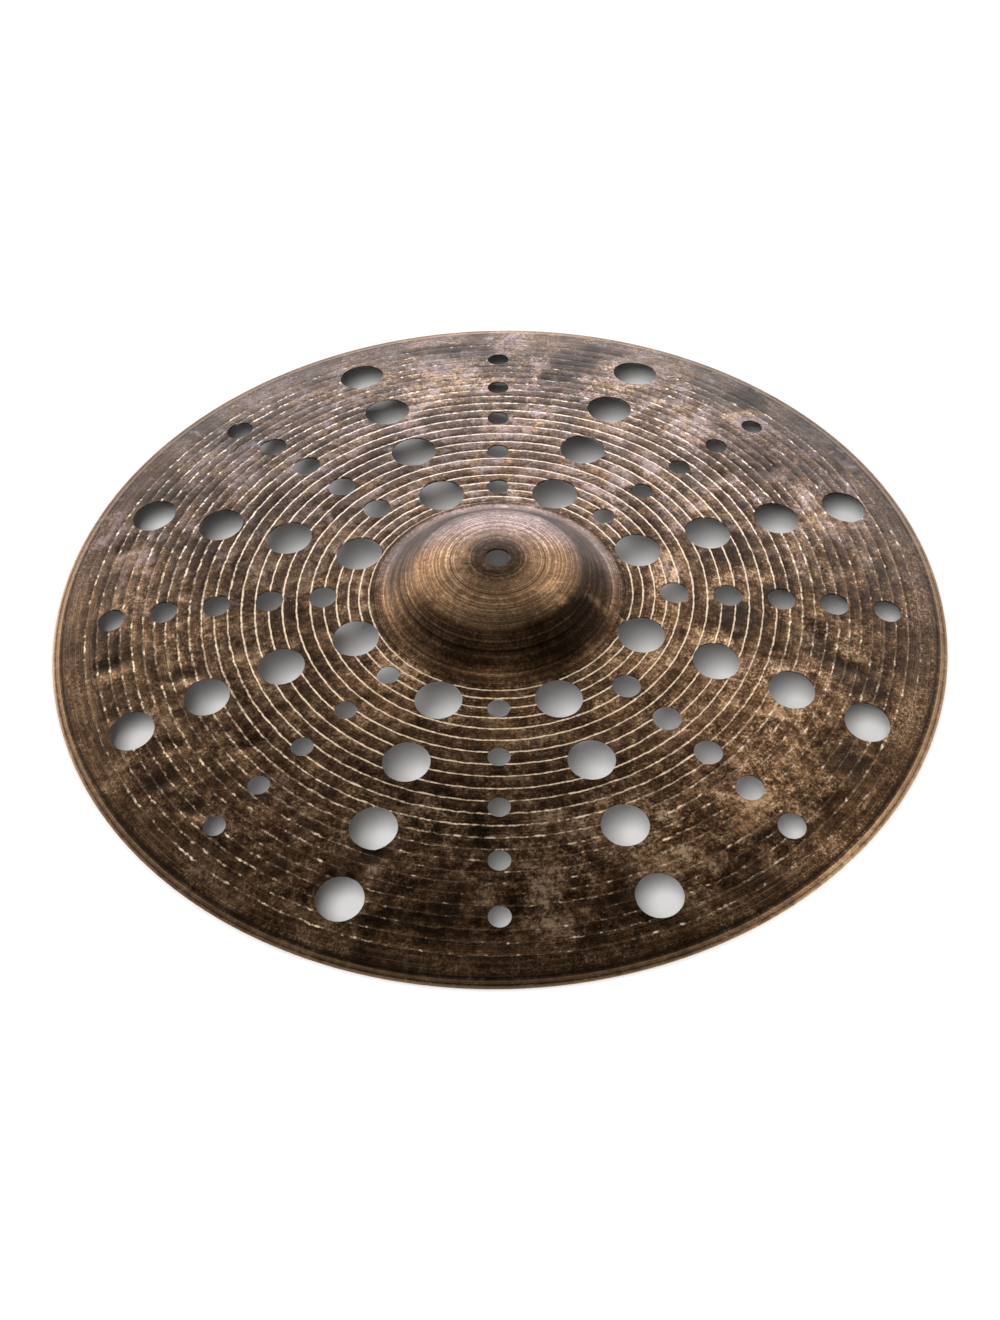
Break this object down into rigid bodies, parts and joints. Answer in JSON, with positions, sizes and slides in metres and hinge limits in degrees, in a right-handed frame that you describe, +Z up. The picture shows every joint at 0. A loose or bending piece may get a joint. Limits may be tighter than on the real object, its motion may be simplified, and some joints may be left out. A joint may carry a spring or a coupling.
{
  "type": "crash cymbal",
  "caption": "Thin perforated bronze crash cymbal: raised bell with a central mounting hole, dished bow drilled with rays of round holes, thin edge.",
  "frame": {"origin": "centre of the rim's lowest plane, on the axis of the mounting hole", "axes": "+Z up through the bell along the turning axis; +X and -X along two opposite rays of medium holes, +Y and -Y along two opposite rays of small holes"},
  "size_m": [0.4572, 0.4572, 0.0521],
  "materials": {
    "patinated_bronze": "cast and hammered bronze with a dark brown mottled patina, bright lathe-cut lines and a bare bright edge"
  },
  "bodies": {
    "root": {"cymbal_plate": "patinated_bronze"}
  },
  "joints": []
}
